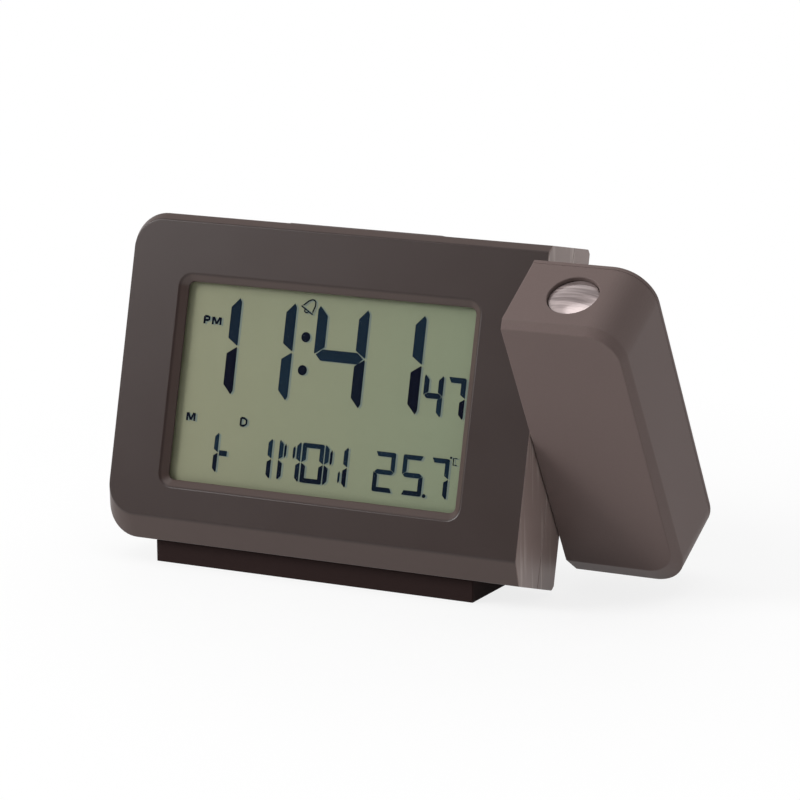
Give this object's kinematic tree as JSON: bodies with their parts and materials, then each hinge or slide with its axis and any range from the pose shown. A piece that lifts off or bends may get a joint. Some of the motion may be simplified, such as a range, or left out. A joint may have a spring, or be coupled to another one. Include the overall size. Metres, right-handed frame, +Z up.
{
  "type": "projection alarm clock",
  "caption": "Table alarm clock with a liquid crystal display, leaning back on a foot, and a projector arm that turns at one end of its flat case.",
  "frame": {"origin": "middle of the foot's flat underside", "axes": "+X along the case towards the projector arm, -Y towards the viewer, +Z up"},
  "size_m": [0.1501, 0.0613, 0.088],
  "materials": {
    "case_plastic": "fine satin moulded",
    "arm_plastic": "fine satin moulded",
    "foot_plastic": "fine satin moulded",
    "key_plastic": "satin",
    "clear_pane": "clear",
    "display_glass": "reflective display film",
    "milky_plastic": "milky",
    "black_plastic": "matte",
    "board_green": "solder mask",
    "steel": "plated",
    "shaft_metal": "turned",
    "elastomer": "striped silicone",
    "cell_can": "printed sleeve",
    "lens_clear": "polished"
  },
  "bodies": {
    "case": {"backlight_guide": "milky_plastic", "backlight_led": "milky_plastic", "base_foot": "foot_plastic", "battery_cells": "cell_can", "battery_contacts": "steel", "battery_springs": "steel", "board_screws": "steel", "buzzer": "black_plastic", "case_screws": "steel", "clock_chip": "black_plastic", "connector_strip": "elastomer", "display_window": "clear_pane", "foot_screws": "steel", "friction_washer": "steel", "front_case": "case_plastic", "key_board": "board_green", "key_board_screws": "steel", "lcd_frame": "black_plastic", "lcd_panel": "display_glass", "main_board": "board_green", "pivot_bush": "black_plastic", "rear_case": "case_plastic", "slide_switch_body": "black_plastic", "snooze_switch": "steel", "tact_switches": "steel", "temperature_sensor": "elastomer"},
    "projector_arm": {"arm_front_shell": "arm_plastic", "arm_rear_shell": "arm_plastic", "pivot_shaft": "shaft_metal", "retaining_clip": "steel", "pivot_wires": "elastomer", "arm_screws": "steel", "projection_lens": "lens_clear", "lens_barrel": "black_plastic", "projector_slide": "lens_clear", "condenser_lens": "lens_clear", "arm_board": "board_green", "projector_led": "milky_plastic"},
    "mode_key": {"mode_key": "key_plastic"},
    "up_key": {"up_key": "key_plastic"},
    "down_key": {"down_key": "key_plastic"},
    "alarm_key": {"alarm_key": "key_plastic"},
    "light_key": {"light_key": "key_plastic"},
    "snooze_bar": {"snooze_bar": "key_plastic"},
    "projector_switch": {"projector_switch": "key_plastic"},
    "battery_door": {"battery_door": "case_plastic"}
  },
  "joints": [
    {"name": "arm_swing", "type": "hinge", "parent": "case", "child": "projector_arm", "pos_m": [0.0595, -0.00311, 0.04456], "axis": [1, 0, 0], "range_deg": [-133.8, 46.2]},
    {"name": "mode_key_press", "type": "slide", "parent": "case", "child": "mode_key", "axis": [0, -0.9692, 0.2462], "range_m": [0, 0.0008], "stiffness_N_per_m": 200, "springref_m": -0.001},
    {"name": "up_key_press", "type": "slide", "parent": "case", "child": "up_key", "axis": [0, -0.9692, 0.2462], "range_m": [0, 0.0008], "stiffness_N_per_m": 200, "springref_m": -0.001},
    {"name": "down_key_press", "type": "slide", "parent": "case", "child": "down_key", "axis": [0, -0.9692, 0.2462], "range_m": [0, 0.0008], "stiffness_N_per_m": 200, "springref_m": -0.001},
    {"name": "alarm_key_press", "type": "slide", "parent": "case", "child": "alarm_key", "axis": [0, -0.9692, 0.2462], "range_m": [0, 0.0008], "stiffness_N_per_m": 200, "springref_m": -0.001},
    {"name": "light_key_press", "type": "slide", "parent": "case", "child": "light_key", "axis": [0, -0.9692, 0.2462], "range_m": [0, 0.0008], "stiffness_N_per_m": 200, "springref_m": -0.001},
    {"name": "snooze_press", "type": "slide", "parent": "case", "child": "snooze_bar", "axis": [0, -0.2462, -0.9692], "range_m": [0, 0.0008], "stiffness_N_per_m": 300, "springref_m": -0.001},
    {"name": "projector_switch_slide", "type": "slide", "parent": "case", "child": "projector_switch", "axis": [1, 0, 0], "range_m": [0, 0.004]},
    {"name": "battery_door_lift", "type": "slide", "parent": "case", "child": "battery_door", "axis": [0, 0.9692, -0.2462], "range_m": [0, 0.012]}
  ]
}
